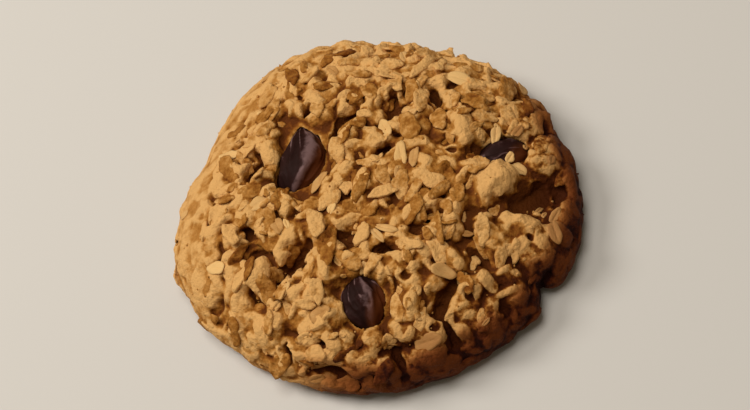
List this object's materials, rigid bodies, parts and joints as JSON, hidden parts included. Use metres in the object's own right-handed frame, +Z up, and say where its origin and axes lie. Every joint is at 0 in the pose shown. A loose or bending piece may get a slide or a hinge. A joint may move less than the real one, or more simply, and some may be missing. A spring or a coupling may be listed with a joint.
{
  "type": "oatmeal raisin cookie",
  "caption": "Thick domed oatmeal cookie with a craggy top of clumps and rolled oat flakes, a flat baked base, and raisins half sunk in the dough.",
  "frame": {"origin": "middle of the flat baked base, on the surface that the cookie lies on", "axes": "+Z up through the crown, +X along the cookie's longer side, +Y across it"},
  "size_m": [0.0835, 0.0804, 0.0184],
  "materials": {
    "crust": "baked oat dough, matte and crumbly",
    "raisin": "dried fruit skin, wrinkled and slightly glossy"
  },
  "bodies": {
    "root": {"cookie": "crust", "raisin_upper_left": "raisin", "raisin_lower": "raisin", "raisin_right": "raisin"}
  },
  "joints": []
}
